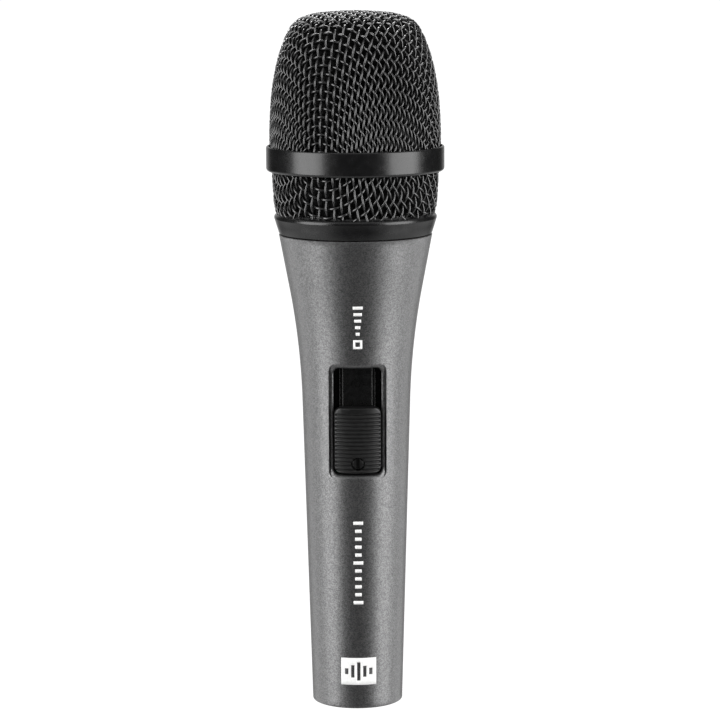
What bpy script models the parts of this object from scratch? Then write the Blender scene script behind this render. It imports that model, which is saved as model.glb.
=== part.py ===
"""Switched handheld dynamic vocal microphone.

Frame: metres, +Z along the microphone's axis with the grille at the top, origin at the
centre of the handle's bottom rim, and the slide switch facing -Y.
"""
import math

import bmesh
import bpy
from mathutils import Matrix, Vector

# Driving dimensions
GAP = 0.0003                # clearance between neighbouring pieces
SPARE = 0.0005              # how far a blank stands outside the cutter that trims it
ROUND = 48                  # segments of the large turned pieces
FINE = 24                   # segments of the small turned pieces

HANDLE_TOP = 0.1263         # shoulder on which the head rests
HANDLE_BOTTOM_RADIUS = 0.01204
FOOT_RADIUS = 0.0004        # rounding of the bottom rim
TAPER = 0.0285              # radius gained per metre of the straight part
FLARE_START = 0.082
FLARE_END = 0.110
FLARE_SLOPE = 0.175         # radius gained per metre at the flare's end
SHOULDER_RADIUS = 0.0203
WALL = 0.0023
NECK_TOP = 0.133
NECK_RADIUS = 0.0174
NECK_BORE = 0.0158
SOCKET_BORE = 0.0098
SOCKET_DEPTH = 0.024

WINDOW_Z = 0.0625           # bottom edge of the recessed land round the switch
LAND_SIZE = (0.01505, 0.0309)
LAND_DEPTH = 0.0007
LAND_RADIUS = 0.002
OPENING_SIZE = (0.0127, 0.0286)
OPENING_RADIUS = 0.0015

SLIDER_SIZE = (0.0123, 0.0175)
SLIDER_BOTTOM = 0.0017      # above WINDOW_Z, in the off position
SLIDER_BACK = 0.00305       # depth of the slider's back face
SLIDER_PROUD = 0.00015
RIB_COUNT = 15
RIB_PITCH = 0.00105
FIRST_RIB = 0.0019          # below the slider's top
RIB_DEPTH = 0.00035
RIB_SEGMENTS = 30
LOCK_Z = 0.0042             # lock screw, above WINDOW_Z
LOCK_RADIUS = 0.0017
TRAY_SIZE = (0.0121, 0.0280)
TRAY_FACE = 0.00335
TRAY_BACK = 0.0074
TRAY_PLATEAU = 0.00395      # half width of the tray's raised middle
TRAY_LEDGE = (0.00475, 0.00385)              # half width and depth of the step beside it
TRAY_GROOVE = 0.0056        # depth of the channels for the slider's legs
LEG = (0.00505, 0.00575)    # inner and outer x of the slider's legs
BOARD_FRONT = 0.0077
BOARD_BACK = 0.0089
BOARD_SCREW_Z = (0.0045, 0.0265)

COLLAR_BORE = 0.0184
COLLAR_LIP = 0.1322         # top of the collar, under the lower mesh
BEAD_Z = 0.1308             # widest part of the collar's rolled lip
BEAD_RADIUS = 0.0009
LIP_RADIUS = 0.0215
BAND_RADIUS = 0.0235
BAND_BOTTOM = 0.143
BAND_TOP = 0.1496
WEB = (0.1455, 0.1471)
WEB_BORE = 0.0193
MESH_THICKNESS = 0.0012
MESH_BORE_IN_BAND = 0.02295
SLEEVE_BORE_IN_BAND = 0.0226
BAND_FILLET = 0.0009        # rounding of the band's lower edge
FOAM_THICKNESS = 0.003
# Half outline of the dome, radius and height, from the centre band to the crown
DOME = [(0.0226, 0.1474), (0.0225, 0.1560), (0.0217, 0.1655), (0.0197, 0.1744),
        (0.01635, 0.1815), (0.0115, 0.1840), (0.0057, 0.1847), (0.0, 0.1850)]

PIN_RADIUS = 0.0012
PIN_CIRCLE = 0.0044
PIN_TIP = 0.0022
PIN_TAIL = 0.0250
CUP_RADIUS = 0.0095
CUP_BORE = 0.0082
INSULATOR = (0.0165, 0.0210)
SET_SCREW_Z = 0.0095

TRANSFORMER_Z = 0.0395
LEAD_RADIUS = 0.00045

CAPSULE_RADIUS = 0.0142
CAPSULE_BOTTOM = 0.139
CAPSULE_TOP = 0.1595
TAIL_RADIUS = 0.0095
TAIL_BOTTOM = 0.116

parts = bpy.data.collections.new("dynamic_microphone")
cutters = bpy.data.collections.new("cutters")


# ---------------------------------------------------------------- outlines

def handle_radius(z):
    """Outer radius of the handle: a straight taper, a flare, and a cone to the shoulder."""
    start = HANDLE_BOTTOM_RADIUS + TAPER * FLARE_START
    if z <= FLARE_START:
        return HANDLE_BOTTOM_RADIUS + TAPER * z
    bend = (FLARE_SLOPE - TAPER) / (2 * (FLARE_END - FLARE_START))
    if z <= FLARE_END:
        return start + TAPER * (z - FLARE_START) + bend * (z - FLARE_START) ** 2
    end = handle_radius(FLARE_END)
    return end + (SHOULDER_RADIUS - end) * (z - FLARE_END) / (HANDLE_TOP - FLARE_END)


def steps(start, end, count):
    """Evenly spaced values from start to end, both included."""
    return [start + (end - start) * i / count for i in range(count + 1)]


def arc(centre, radius, start, end, count):
    """Points on a circle between two angles in degrees."""
    return [(centre[0] + radius * math.cos(math.radians(a)),
             centre[1] + radius * math.sin(math.radians(a))) for a in steps(start, end, count)]


def smooth_curve(points, per_span):
    """Catmull-Rom curve through the points."""
    knots = [Vector(p) for p in points]
    knots = [2 * knots[0] - knots[1]] + knots + [2 * knots[-1] - knots[-2]]
    curve = []
    for a, b, c, d in zip(knots, knots[1:], knots[2:], knots[3:]):
        for i in range(per_span):
            t = i / per_span
            curve.append(0.5 * (2 * b + (c - a) * t + (2 * a - 5 * b + 4 * c - d) * t ** 2
                                + (3 * b - a - 3 * c + d) * t ** 3))
    curve.append(knots[-2])
    return [tuple(p) for p in curve]


def inset(outline, distance):
    """The outline moved towards the axis side by a distance, square to its own direction."""
    moved = []
    for i, (r, z) in enumerate(outline):
        before = Vector(outline[max(i - 1, 0)])
        after = Vector(outline[min(i + 1, len(outline) - 1)])
        along = (after - before).normalized()
        moved.append((max(r - along.y * distance, 0.0), z + along.x * distance))
    moved[-1] = (0.0, outline[-1][1] - distance)
    return moved


# ---------------------------------------------------------------- makers

def material(name, color, roughness, metallic=0.0):
    """A Principled material, made once for each name."""
    made = bpy.data.materials.get(name) or bpy.data.materials.new(name)
    made.use_nodes = True
    shader = made.node_tree.nodes["Principled BSDF"]
    shader.inputs["Base Color"].default_value = (*color, 1.0)
    shader.inputs["Roughness"].default_value = roughness
    shader.inputs["Metallic"].default_value = metallic
    return made


def paint():
    return material("handle_paint", (0.09, 0.09, 0.095), 0.42, 0.6)


def black_metal():
    return material("satin_black", (0.012, 0.012, 0.013), 0.38, 0.2)


def wire():
    return material("black_wire", (0.015, 0.015, 0.016), 0.35, 0.4)


def foam():
    return material("foam", (0.01, 0.01, 0.01), 0.95)


def black_plastic():
    return material("black_plastic", (0.018, 0.018, 0.018), 0.5)


def rubber():
    return material("rubber", (0.02, 0.02, 0.02), 0.8)


def bright_steel():
    return material("bright_steel", (0.6, 0.6, 0.6), 0.3, 1.0)


def plating():
    return material("pin_plating", (0.72, 0.70, 0.66), 0.2, 1.0)


def circuit_board():
    return material("circuit_board", (0.02, 0.12, 0.06), 0.5)


def copper():
    return material("enamelled_copper", (0.45, 0.16, 0.06), 0.35, 0.9)


def add(name, mesh, look, place=(0, 0, 0), turn=(0, 0, 0), parent=None):
    """Put a mesh or a curve into the microphone, or a cutter when it has no look."""
    made = bpy.data.objects.new(name, mesh)
    made.location = place
    made.rotation_euler = turn
    made.parent = parent
    if look is None:
        cutters.objects.link(made)
        made.hide_render = True
        made.display_type = 'WIRE'
    else:
        parts.objects.link(made)
        mesh.materials.append(look)
    return made


def mesh_of(name, bm):
    """Turn a bmesh into a smooth-shaded mesh with sharp corners kept."""
    mesh = bpy.data.meshes.new(name)
    bm.to_mesh(mesh)
    bm.free()
    mesh.shade_smooth()
    mesh.set_sharp_from_angle(angle=math.radians(35))
    return mesh


def turned(name, outline, look, closed=True, segments=FINE, **where):
    """A piece turned about its own Z axis from an outline of (radius, height) points.

    A closed outline makes a ring. An open one starts and ends on the axis.
    """
    mesh = bpy.data.meshes.new(name)
    edges = [(i, i + 1) for i in range(len(outline) - 1)]
    if closed:
        edges.append((len(outline) - 1, 0))
    mesh.from_pydata([(r, 0, z) for r, z in outline], edges, [])
    made = add(name, mesh, look, **where)
    screw = made.modifiers.new("turn", 'SCREW')
    screw.steps = screw.render_steps = segments
    screw.use_merge_vertices = True
    screw.merge_threshold = 0.00001
    return made


def ring(name, radii, heights, look, segments=FINE, **where):
    """A plain turned ring between two radii and two heights."""
    (inner, outer), (low, high) = radii, heights
    outline = [(outer, high), (outer, low), (inner, low), (inner, high)]
    return turned(name, outline, look, segments=segments, **where)


def disc(name, radius, heights, look, segments=FINE, **where):
    """A plain turned disc."""
    low, high = heights
    outline = [(0, high), (radius, high), (radius, low), (0, low)]
    return turned(name, outline, look, closed=False, segments=segments, **where)


def box(name, low, high, look, corner=0.0, along='Y', **where):
    """A box between two corners, whose edges along one axis may be rounded."""
    bm = bmesh.new()
    size = Vector(high) - Vector(low)
    middle = (Vector(high) + Vector(low)) / 2
    bmesh.ops.create_cube(bm, size=1.0, matrix=Matrix.Translation(middle) @ Matrix.Diagonal((*size, 1)))
    if corner:
        axis = 'XYZ'.index(along)
        edges = [e for e in bm.edges if abs((e.verts[0].co - e.verts[1].co)[axis]) > size[axis] / 2]
        bmesh.ops.bevel(bm, geom=edges, offset=corner, segments=5, profile=0.5, affect='EDGES')
    return add(name, mesh_of(name, bm), look, **where)


def extruded(name, outline, low, high, look, **where):
    """A flat outline in X and Y, extruded along Z."""
    curve = bpy.data.curves.new(name, 'CURVE')
    curve.dimensions = '2D'
    curve.fill_mode = 'BOTH'
    curve.extrude = (high - low) / 2
    spline = curve.splines.new('POLY')
    spline.points.add(len(outline) - 1)
    spline.use_cyclic_u = True
    for point, (x, y) in zip(spline.points, outline):
        point.co = (x, y, 0, 1)
    source = bpy.data.objects.new(name + "_outline", curve)
    cutters.objects.link(source)
    flat = bpy.data.meshes.new_from_object(source.evaluated_get(bpy.context.evaluated_depsgraph_get()))
    bpy.data.objects.remove(source)
    bm = bmesh.new()
    bm.from_mesh(flat)
    bmesh.ops.remove_doubles(bm, verts=bm.verts, dist=0.000001)
    bmesh.ops.recalc_face_normals(bm, faces=bm.faces)
    bmesh.ops.translate(bm, verts=bm.verts, vec=(0, 0, (high + low) / 2))
    return add(name, mesh_of(name, bm), look, **where)


def combine(target, tool, operation='DIFFERENCE'):
    """Cut, join or intersect a piece with a cutter."""
    boolean = target.modifiers.new(tool.name, 'BOOLEAN')
    boolean.operation = operation
    boolean.solver = 'EXACT'
    boolean.object = tool


def empty(name, place, turn=(0, 0, 0), parent=None):
    """An empty that holds a joint's axis or a group's frame."""
    made = bpy.data.objects.new(name, None)
    made.location = place
    made.rotation_euler = turn
    made.parent = parent
    made.empty_display_size = 0.01
    parts.objects.link(made)
    return made


def across(name, radius, front, back, look, x=0.0, z=0.0, parent=None, segments=20):
    """A round bar or hole that runs along Y, from front to back, in its parent's frame."""
    return disc(name, radius, (-back, -front), look, segments=segments, place=(x, 0, z),
                turn=(math.radians(90), 0, 0), parent=parent)


# ---------------------------------------------------------------- handle

def make_handle(frame):
    """Tapered die-cast shell with the socket bore, the switch opening and the threaded neck."""
    flare = steps(FLARE_START, FLARE_END, 6)
    foot = arc((HANDLE_BOTTOM_RADIUS - FOOT_RADIUS, FOOT_RADIUS), FOOT_RADIUS, 0, -90, 3)
    outline = [(NECK_RADIUS - 0.0005, NECK_TOP), (NECK_RADIUS, NECK_TOP - 0.0005),
               (NECK_RADIUS, HANDLE_TOP), (SHOULDER_RADIUS, HANDLE_TOP)]
    outline += [(handle_radius(z), z) for z in reversed(flare)]
    outline += foot
    outline += [(SOCKET_BORE + 0.0003, 0), (SOCKET_BORE, 0.0003), (SOCKET_BORE, SOCKET_DEPTH),
                (handle_radius(SOCKET_DEPTH + 0.001) - WALL, SOCKET_DEPTH + 0.001)]
    outline += [(handle_radius(z) - WALL, z) for z in flare]
    outline += [(NECK_BORE, 0.1146), (NECK_BORE, NECK_TOP)]
    handle = turned("handle_shell", outline, paint(), segments=ROUND)

    width, height = OPENING_SIZE
    low = (LAND_SIZE[1] - height) / 2
    opening = box("opening_cut", (-width / 2, -0.003, low), (width / 2, 0.0065, low + height), None,
                  corner=OPENING_RADIUS, parent=frame)
    combine(handle, opening)

    width, height = LAND_SIZE
    land = box("land_cut", (-width / 2, -0.003, 0), (width / 2, 0.0045, height), None,
               corner=LAND_RADIUS, parent=frame)
    core_z = [0.055, FLARE_START, 0.087, 0.092, 0.100]
    core_outline = [(0, core_z[-1])] + [(handle_radius(z) - LAND_DEPTH, z) for z in reversed(core_z)]
    core = turned("land_core", core_outline + [(0, core_z[0])], None, closed=False, segments=ROUND)
    combine(land, core)
    combine(handle, land)

    hole = across("set_screw_cut", 0.0015, 0.009, 0.014, None, z=SET_SCREW_Z)
    combine(handle, hole)
    return handle


# ---------------------------------------------------------------- switch

def slider_outline():
    """Cross-section of the slider: a crowned face and two legs, wider than its final sides."""
    half = SLIDER_SIZE[0] / 2 + SPARE
    radius = handle_radius(WINDOW_Z) + SLIDER_PROUD
    spread = math.degrees(math.asin(half / radius))
    face = [(x, y + radius - SLIDER_PROUD) for x, y in arc((0, 0), radius, -90 - spread, -90 + spread, 8)]
    leg_in, leg_out = LEG
    foot = TRAY_GROOVE - GAP
    right = [(half, SLIDER_BACK), (leg_out, SLIDER_BACK), (leg_out, foot), (leg_in, foot),
             (leg_in, SLIDER_BACK)]
    return face + right + [(-x, y) for x, y in reversed(right)]


def make_slider(axis):
    """Ribbed thumb slider, hollowed behind for the lock cam, the detent spring and the magnet."""
    low, high = SLIDER_BOTTOM, SLIDER_BOTTOM + SLIDER_SIZE[1]
    slider = extruded("slider_cap", slider_outline(), low - SPARE, high + SPARE, black_plastic(),
                      parent=axis)
    half = SLIDER_SIZE[0] / 2
    corners = box("slider_corners", (-half, -0.002, low), (half, 0.008, high), None,
                  corner=0.0018, parent=axis)
    combine(slider, corners, 'INTERSECT')

    radius = handle_radius(WINDOW_Z)
    first = high - FIRST_RIB
    grooves = bpy.data.meshes.new("rib_cut")
    points, edges = [], []
    for i in range(RIB_COUNT):
        middle = (radius + SLIDER_PROUD, first - i * RIB_PITCH)
        start = len(points)
        points += [(r, 0, z) for r, z in arc(middle, RIB_DEPTH, 90, -180, 3)]
        edges += [(start + k, start + (k + 1) % 4) for k in range(4)]
    grooves.from_pydata(points, edges, [])
    cutter = add("rib_cut", grooves, None, place=(0, radius, 0), turn=(0, 0, math.radians(-90)),
                 parent=axis)
    screw = cutter.modifiers.new("turn", 'SCREW')
    screw.steps = screw.render_steps = RIB_SEGMENTS
    screw.use_merge_vertices = True
    screw.merge_threshold = 0.00001
    combine(slider, cutter)

    recess, bore, pocket = LOCK_RADIUS + GAP, 0.0012, 0.0021
    stepped = [(0, 0.001), (recess, 0.001), (recess, -0.00155), (bore, -0.00155), (bore, -0.00215),
               (pocket, -0.00215), (pocket, -0.004), (0, -0.004)]
    combine(slider, turned("lock_bore", stepped, None, closed=False, segments=20, place=(0, 0, LOCK_Z),
                           turn=(math.radians(90), 0, 0), parent=axis))
    combine(slider, box("spring_pocket", (-0.0032, 0.0013, 0.0074), (0.0032, 0.004, 0.0103), None,
                        parent=axis))
    combine(slider, box("magnet_pocket", (-0.0022, 0.0013, 0.0112), (0.0022, 0.004, 0.0172), None,
                        parent=axis))


def make_slider_contents(axis):
    """The magnet and the detent leaf that the slider carries."""
    box("slider_magnet", (-0.0019, 0.0016, 0.0115), (0.0019, 0.0029, 0.0169), bright_steel(), parent=axis)
    leaf_radius = 0.0048
    outer = arc((0, 0.0066), leaf_radius, -126, -54, 8)
    inner = arc((0, 0.0066), leaf_radius - 0.0003, -54, -126, 8)
    extruded("detent_spring", outer + inner, 0.0078, 0.0099, bright_steel(), parent=axis)


def make_lock(axis):
    """Slotted lock screw through the slider, and the cam behind it."""
    pivot = empty("lock_axis", (0, 0, LOCK_Z), parent=axis)
    outline = [(0, -0.00045), (LOCK_RADIUS, -0.00045), (LOCK_RADIUS, -0.00125), (0.0009, -0.00125),
               (0.0009, -0.00215), (0, -0.00215)]
    screw = turned("lock_screw", outline, black_plastic(), closed=False, segments=24,
                   turn=(math.radians(90), 0, 0), parent=pivot)
    slot = box("lock_slot", (-0.0005, 0, -0.003), (0.0005, 0.00095, 0.003), None, parent=pivot)
    combine(screw, slot)
    box("lock_cam", (-0.0010, 0.00245, -0.0015), (0.0010, 0.00305, 0.0015), bright_steel(),
        corner=0.0007, parent=pivot)


def make_tray(frame):
    """Moulded tray behind the slider: a raised middle, a step, and open channels for the legs."""
    ledge, ledge_depth = TRAY_LEDGE
    half = TRAY_SIZE[0] / 2
    side = half + SPARE
    right = [(TRAY_PLATEAU, TRAY_FACE), (TRAY_PLATEAU, ledge_depth), (ledge, ledge_depth),
             (ledge, TRAY_GROOVE), (side, TRAY_GROOVE), (side, TRAY_BACK)]
    low = (LAND_SIZE[1] - TRAY_SIZE[1]) / 2
    high = low + TRAY_SIZE[1]
    tray = extruded("switch_tray", right + [(-x, y) for x, y in reversed(right)], low - SPARE,
                    high + SPARE, black_plastic(), parent=frame)
    corners = box("tray_corners", (-half, 0.002, low), (half, 0.009, high), None,
                  corner=OPENING_RADIUS - GAP, parent=frame)
    combine(tray, corners, 'INTERSECT')
    for i, z in enumerate(BOARD_SCREW_Z):
        combine(tray, across(f"tray_hole_{i}", 0.0010, 0.0057, 0.009, None, z=z, parent=frame))


def make_board(frame):
    """Switch board with its reed contact, held to the tray by two screws."""
    board = box("switch_board", (-0.0056, BOARD_FRONT, 0), (0.0056, BOARD_BACK, 0.031), circuit_board(),
                parent=frame)
    for z, end in zip(BOARD_SCREW_Z, ("lower", "upper")):
        combine(board, across(f"board_hole_{end}", 0.0010, 0.007, 0.010, None, z=z, parent=frame))
        head, tip = BOARD_BACK + GAP, 0.0060
        outline = [(0, -tip), (0.0007, -tip), (0.0007, -head), (0.0015, -head),
                   (0.0015, -head - 0.0010), (0, -head - 0.0010)]
        turned(f"tray_screw_{end}", outline, bright_steel(), closed=False, segments=20,
               place=(0, 0, z), turn=(math.radians(90), 0, 0), parent=frame)
    tube = [(0, 0.0220), (0.0006, 0.0218), (0.0010, 0.0211), (0.0010, 0.0099), (0.0006, 0.0092), (0, 0.0090)]
    turned("reed_switch", tube, material("reed_glass", (0.35, 0.45, 0.38), 0.1), closed=False,
           segments=16, place=(0, BOARD_BACK + GAP + 0.0010, 0), parent=frame)


# ---------------------------------------------------------------- connector

def make_connector():
    """Three-pin socket in the handle's end: cup, insulator, pins, earth washer and set screw."""
    lip_bore = 0.0072
    rim = 0.0006
    shelf = INSULATOR[1] + GAP
    top = shelf + 0.0010
    outline = [(CUP_RADIUS, top), (CUP_RADIUS, rim + 0.0003), (CUP_RADIUS - 0.0003, rim),
               (CUP_BORE + 0.0004, rim), (CUP_BORE, rim + 0.0004), (CUP_BORE, shelf),
               (lip_bore, shelf), (lip_bore, top)]
    cup = turned("connector_cup", outline, plating(), segments=ROUND)
    combine(cup, box("key_rib", (-0.0009, -CUP_BORE - 0.0005, 0.003),
                     (0.0009, -CUP_BORE + 0.0007, 0.0160), None), 'UNION')
    combine(cup, box("latch_notch", (-0.0021, CUP_BORE - 0.0009, -0.001),
                     (0.0021, CUP_BORE + 0.0003, 0.0045), None))

    insulator = disc("connector_insulator", CUP_BORE - GAP, INSULATOR, black_plastic(), segments=40)
    for number, angle in enumerate((90, 210, 330), start=1):
        x = PIN_CIRCLE * math.cos(math.radians(angle))
        y = PIN_CIRCLE * math.sin(math.radians(angle))
        low = INSULATOR[0] - 0.001
        hole = disc(f"pin_hole_{number}", PIN_RADIUS + GAP, (low, INSULATOR[1] + 0.001), None, segments=20,
                    place=(x, y, 0))
        combine(insulator, hole)
        tip = [(r, z) for r, z in arc((0, PIN_TIP + PIN_RADIUS), PIN_RADIUS, 0, -90, 4)]
        outline = [(0, PIN_TAIL), (0.0009, PIN_TAIL), (0.0009, INSULATOR[1]), (PIN_RADIUS, INSULATOR[1])]
        turned(f"pin_{number}", outline + tip, plating(), closed=False, segments=20, place=(x, y, 0))

    ring("earth_washer", (0.0012, 0.0022), (shelf, shelf + 0.0004), bright_steel(), segments=20,
         place=(0, PIN_CIRCLE, 0))

    screw = across("connector_set_screw", 0.0012, 0.0098, 0.0118, bright_steel(), z=SET_SCREW_Z, segments=20)
    hexagon = across("hex_cut", 0.0006, 0.0108, 0.0130, None, z=SET_SCREW_Z, segments=6)
    combine(screw, hexagon)


def make_transformer():
    """Output transformer in the handle: a laminated core and the winding round its middle leg."""
    z = TRANSFORMER_Z
    leg, window, side = 0.0020, 0.0049, 0.0065
    deep, high, half_window = 0.0035, 0.0075, 0.0050
    core = box("transformer_core", (-side, -deep, z - high), (side, deep, z + high), bright_steel())
    for sign, name in ((1, "right"), (-1, "left")):
        xs = sorted((sign * leg, sign * window))
        combine(core, box(f"core_window_{name}", (xs[0], -0.01, z - half_window),
                          (xs[1], 0.01, z + half_window), None))
    reach = (window - GAP, 0.0062)
    tall = half_window - GAP
    winding = box("transformer_winding", (-reach[0], -reach[1], z - tall), (reach[0], reach[1], z + tall),
                  copper(), corner=0.0010, along='Z')
    combine(winding, box("winding_bore", (-leg - GAP, -deep - GAP, z - 0.01),
                         (leg + GAP, deep + GAP, z + 0.01), None))


# ---------------------------------------------------------------- head

def make_collar():
    """Black base ring that screws down on the handle's neck and carries the lower mesh."""
    outline = [(0.0197, 0.1336), (0.0197, COLLAR_LIP - 0.0004), (0.0206, COLLAR_LIP - 0.0001)]
    outline += arc((LIP_RADIUS - BEAD_RADIUS, BEAD_Z), BEAD_RADIUS, 70, -30, 5)
    outline += [(SHOULDER_RADIUS, HANDLE_TOP + GAP), (COLLAR_BORE + 0.0004, HANDLE_TOP + GAP),
                (COLLAR_BORE, HANDLE_TOP + GAP + 0.0004), (COLLAR_BORE, 0.1336)]
    turned("base_collar", outline, black_metal(), segments=ROUND)


def make_lower_mesh():
    """Short mesh sleeve between the collar and the centre band, with its foam ring."""
    low, high = COLLAR_LIP + GAP, WEB[0] - GAP
    outer = [(0.0222, high), (0.0220, 0.1420), (0.0216, 0.1350), (0.0210, low)]
    outline = outer + [(r - MESH_THICKNESS, z) for r, z in reversed(outer)]
    turned("lower_grille", outline, wire(), segments=ROUND)
    ring("lower_foam", (0.0176, 0.0197), (0.1340, 0.1450), foam(), segments=32)


def make_band():
    """Centre band, with an inner web that parts the two meshes."""
    low, high = WEB
    outline = [(MESH_BORE_IN_BAND, BAND_TOP)]
    outline += arc((BAND_RADIUS - 0.0005, BAND_TOP - 0.0005), 0.0005, 80, 0, 3)
    outline += arc((BAND_RADIUS - BAND_FILLET, BAND_BOTTOM + BAND_FILLET), BAND_FILLET, 0, -80, 4)
    outline += [(SLEEVE_BORE_IN_BAND, BAND_BOTTOM), (SLEEVE_BORE_IN_BAND, low), (WEB_BORE, low),
                (WEB_BORE, high), (MESH_BORE_IN_BAND, high)]
    turned("centre_band", outline, black_metal(), segments=ROUND)


def make_dome():
    """Upper mesh and its foam liner: turned surfaces with a wall thickness."""
    dome = smooth_curve(DOME, 2)
    lining = smooth_curve(DOME, 1)
    turned("upper_grille", list(reversed(dome)) + inset(lining, MESH_THICKNESS), wire(),
           closed=False, segments=ROUND)
    outer = inset(lining, MESH_THICKNESS + GAP)
    inner = inset(lining, MESH_THICKNESS + GAP + FOAM_THICKNESS)
    turned("foam_liner", list(reversed(outer)) + inner, foam(), closed=False, segments=FINE)


# ---------------------------------------------------------------- capsule

def make_capsule_shell():
    """Capsule housing, its holed front plate and cloth, and the rear chamber below it."""
    wall, floor = 0.0010, 0.0012
    outline = [(CAPSULE_RADIUS, CAPSULE_TOP), (CAPSULE_RADIUS, CAPSULE_BOTTOM), (0.0060, CAPSULE_BOTTOM),
               (0.0060, CAPSULE_BOTTOM + floor), (CAPSULE_RADIUS - wall, CAPSULE_BOTTOM + floor),
               (CAPSULE_RADIUS - wall, CAPSULE_TOP)]
    turned("capsule_housing", outline, black_plastic(), segments=40)

    plate_radius = CAPSULE_RADIUS - wall - GAP
    plate = disc("resonator_plate", plate_radius, (0.1576, 0.1588), black_plastic(), segments=40)
    holes = bmesh.new()
    for count, circle in ((1, 0.0), (6, 0.0042), (12, 0.0084)):
        for i in range(count):
            angle = 2 * math.pi * i / count
            place = Matrix.Translation((circle * math.cos(angle), circle * math.sin(angle), 0.1582))
            bmesh.ops.create_cone(holes, cap_ends=True, segments=6, radius1=0.0009, radius2=0.0009,
                                  depth=0.004, matrix=place)
    combine(plate, add("plate_holes", mesh_of("plate_holes", holes), None))
    disc("front_cloth", plate_radius, (0.1591, 0.1594), material("cloth", (0.05, 0.05, 0.05), 0.9),
         segments=32)

    tail = [(TAIL_RADIUS, CAPSULE_BOTTOM - GAP), (TAIL_RADIUS, TAIL_BOTTOM), (0.0020, TAIL_BOTTOM),
            (0.0020, TAIL_BOTTOM + 0.001), (TAIL_RADIUS - 0.001, TAIL_BOTTOM + 0.001),
            (TAIL_RADIUS - 0.001, CAPSULE_BOTTOM - GAP)]
    turned("rear_chamber", tail, black_plastic())


def make_motor():
    """Magnet system: a pot yoke, the magnet and its pole piece."""
    yoke = [(0.0128, 0.1523), (0.0128, 0.1408), (0.0030, 0.1408), (0.0030, 0.1432), (0.0109, 0.1432),
            (0.0109, 0.1500), (0.00995, 0.1500), (0.00995, 0.1523)]
    turned("yoke", yoke, bright_steel())
    disc("magnet", 0.0086, (0.1435, 0.1497), material("magnet", (0.09, 0.09, 0.10), 0.4, 0.8))
    disc("pole_piece", 0.0083, (0.1500, 0.1523), bright_steel())


def make_diaphragm():
    """Thin domed diaphragm with a rolled edge, and the voice coil below it."""
    dome = [(0.0, 0.1566), (0.0050, 0.1560), (0.0080, 0.1547), (0.0091, 0.1540),
            (0.0103, 0.1547), (0.0115, 0.1549), (0.0128, 0.1542)]
    film = 0.0002
    below = [(r, z - film) for r, z in reversed(dome)]
    turned("diaphragm", dome + below, material("film", (0.55, 0.50, 0.38), 0.25), closed=False)
    ring("voice_coil", (0.0087, 0.0095), (0.1499, 0.1535), copper())


def make_mounting():
    """Rubber shock mount round the rear chamber and the ring that holds it in the neck."""
    sleeve = TAIL_RADIUS + GAP
    outline = [(0.0130, 0.1376), (0.0130, 0.1340), (0.0118, 0.1336), (0.0118, 0.1330), (0.0130, 0.1325),
               (0.0130, 0.1235), (0.0118, 0.1220), (sleeve, 0.1220), (sleeve, 0.1376)]
    turned("shock_mount", outline, rubber())
    ring("carrier_ring", (0.0133, NECK_BORE - GAP), (0.1240, 0.1322), black_plastic(), segments=32)


def make_terminals():
    """Terminal board under the rear chamber with its two solder lugs."""
    low, high = 0.1145, TAIL_BOTTOM - GAP
    disc("terminal_board", 0.0075, (low, high), circuit_board())
    for x, name in ((-0.004, "left"), (0.004, "right")):
        box(f"terminal_{name}", (x - 0.0008, 0.0012, 0.1128), (x + 0.0008, 0.0028, low - GAP), copper())


# ---------------------------------------------------------------- leads

def make_lead(name, route, color):
    """A lead along a smooth route through the points given."""
    curve = bpy.data.curves.new(name, 'CURVE')
    curve.dimensions = '3D'
    curve.bevel_depth = LEAD_RADIUS
    curve.bevel_resolution = 1
    curve.use_fill_caps = True
    path = smooth_curve(route, 3)
    spline = curve.splines.new('POLY')
    spline.points.add(len(path) - 1)
    for point, place in zip(spline.points, path):
        point.co = (*place, 1)
    add(name, curve, material(name + "_sleeve", color, 0.45))


def make_leads():
    """Leads from the capsule to the transformer, and from it and the switch to the pins."""
    red, black = (0.5, 0.03, 0.02), (0.02, 0.02, 0.02)
    blue, white = (0.03, 0.09, 0.4), (0.7, 0.7, 0.68)
    pin_x, pin_y = 0.00381, -0.0022
    for sign, side, capsule_color, output_color, switch_color in (
            (-1, "left", black, blue, white), (1, "right", red, white, blue)):
        make_lead(f"capsule_lead_{side}",
                  [(sign * 0.0040, 0.0020, 0.1120), (sign * 0.0046, 0.0040, 0.1000),
                   (sign * 0.0034, 0.0065, 0.0800), (sign * 0.0040, 0.0060, 0.0600),
                   (sign * 0.0034, 0.0050, 0.0450)], capsule_color)
        make_lead(f"output_lead_{side}",
                  [(sign * 0.0034, -0.0050, 0.0342), (sign * 0.0042, -0.0052, 0.0310),
                   (sign * 0.0042, -0.0032, 0.0275), (sign * pin_x, pin_y, 0.0254)], output_color)
        make_lead(f"switch_lead_{side}",
                  [(sign * 0.0030, -0.0038, 0.0640), (sign * 0.0060, -0.0036, 0.0560),
                   (sign * 0.0082, -0.0024, 0.0460), (sign * 0.0082, -0.0020, 0.0340),
                   (sign * 0.0076, -0.0022, 0.0265), (sign * 0.0053, -0.0022, 0.0238)], switch_color)


# ---------------------------------------------------------------- assembly

def main():
    for old in list(bpy.data.objects):
        bpy.data.objects.remove(old)
    bpy.context.scene.collection.children.link(parts)
    bpy.context.scene.collection.children.link(cutters)

    lean = math.atan(TAPER)
    frame = empty("switch_frame", (0, -handle_radius(WINDOW_Z), WINDOW_Z), turn=(lean, 0, 0))
    slide = empty("slide_axis", (0, 0, 0), parent=frame)

    make_handle(frame)
    make_tray(frame)
    make_board(frame)
    make_slider(slide)
    make_slider_contents(slide)
    make_lock(slide)
    make_connector()
    make_transformer()
    make_collar()
    make_lower_mesh()
    make_band()
    make_dome()
    make_capsule_shell()
    make_motor()
    make_diaphragm()
    make_mounting()
    make_terminals()
    make_leads()


main()
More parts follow.
